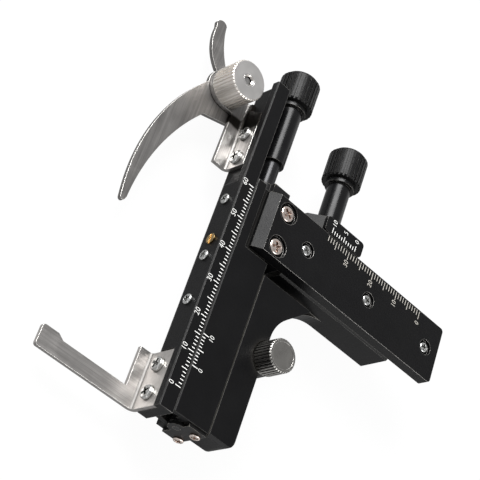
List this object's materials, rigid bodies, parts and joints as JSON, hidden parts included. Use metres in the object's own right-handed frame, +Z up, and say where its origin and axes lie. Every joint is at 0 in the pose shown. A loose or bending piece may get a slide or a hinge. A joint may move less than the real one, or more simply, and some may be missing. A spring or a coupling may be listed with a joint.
{
  "type": "mechanical microscope stage",
  "caption": "Mechanical microscope stage: a scale bar with a fixed and a sprung finger moves a slide along crossed guides by knurled knobs.",
  "frame": {"origin": "axis of the clamping screw, in the plane where the base stands on the microscope stage", "axes": "+X along the long scale towards its high numbers and the drive knobs, +Y towards the slide that the fingers hold, +Z up from the microscope stage"},
  "size_m": [0.1133, 0.1095, 0.0246],
  "materials": {
    "black_cast": "satin black baked enamel on die-cast zinc, fine orange peel",
    "black_anodised": "black anodised, smooth satin, with white filled scales",
    "black_turned": "gloss black chromate on turned brass",
    "knob_black": "satin black anodised, coarse straight knurl",
    "stainless_sheet": "stainless spring sheet, finely brushed",
    "nickel": "satin nickel plate on turned brass",
    "zinc_screw": "bright zinc plated screws",
    "copper_screw": "copper plated steel screws",
    "brass": "bare machined brass",
    "steel": "ground steel",
    "black_oxide": "black oxide steel"
  },
  "bodies": {
    "base": {"base_casting": "black_cast", "vernier_plate": "black_anodised", "shaft_bush": "black_turned"},
    "clamp_seat": {"clamp_washer": "steel"},
    "clamp": {"clamp_knob": "nickel", "clamp_screw": "steel"},
    "cross_carriage": {"cross_slide": "black_anodised", "dovetail_rail": "steel", "rack": "brass", "slide_screws": "copper_screw", "rail_screws": "zinc_screw", "guide_block": "black_cast", "near_end_plate": "black_turned", "far_bearing_plate": "black_turned", "end_plate_screws": "copper_screw"},
    "cross_drive": {"pinion_shaft": "steel", "pinion": "brass", "pinion_sleeve": "black_turned", "pinion_knob": "knob_black", "pinion_knob_grub": "black_oxide"},
    "bar": {"scale_bar": "black_anodised", "bar_dovetail": "steel", "half_nut": "brass", "bar_screws": "zinc_screw", "adjusting_screw": "brass", "fixed_finger": "stainless_sheet", "fixed_finger_screws": "zinc_screw", "finger_bracket": "stainless_sheet", "bracket_screws": "zinc_screw", "torsion_spring": "steel"},
    "screw_drive": {"lead_screw": "black_oxide", "screw_sleeve": "black_turned", "screw_knob": "knob_black", "screw_knob_grub": "black_oxide"},
    "finger": {"curved_finger": "stainless_sheet", "pivot_stud": "steel", "spring_drum": "nickel", "drum_screw": "steel"}
  },
  "joints": [
    {"name": "cross_travel", "type": "slide", "parent": "base", "child": "cross_carriage", "axis": [0, 1, 0], "range_m": [0, 0.0284]},
    {"name": "cross_turn", "type": "hinge", "parent": "base", "child": "cross_drive", "pos_m": [0.064, -0.0094, 0.00665], "axis": [1, 0, 0], "range_deg": [-543.4, 0]},
    {"name": "bar_travel", "type": "slide", "parent": "cross_carriage", "child": "bar", "axis": [1, 0, 0], "range_m": [-0.053, 0.0069]},
    {"name": "screw_turn", "type": "hinge", "parent": "cross_carriage", "child": "screw_drive", "pos_m": [0.0722, 0.015, 0.0073], "axis": [1, 0, 0], "range_deg": [-208, 1591]},
    {"name": "finger_swing", "type": "hinge", "parent": "bar", "child": "finger", "pos_m": [0.0668, 0.0334, 0.0015], "axis": [0, 0, 1], "range_deg": [-50, 0], "stiffness_Nm_per_rad": 0.02, "springref_deg": 34.38},
    {"name": "clamp_lift", "type": "slide", "parent": "base", "child": "clamp_seat", "axis": [0, 0, 1], "range_m": [0, 0.0035]},
    {"name": "clamp_turn", "type": "hinge", "parent": "clamp_seat", "child": "clamp", "pos_m": [0, 0, 0], "axis": [0, 0, 1], "range_deg": [0, 1810]}
  ],
  "couplings": [
    {"joint": "cross_turn", "follows": "cross_travel", "rad_per_m": -333.33},
    {"joint": "screw_turn", "follows": "bar_travel", "rad_per_m": -523.6},
    {"joint": "clamp_turn", "follows": "clamp_lift", "rad_per_m": 8976}
  ]
}
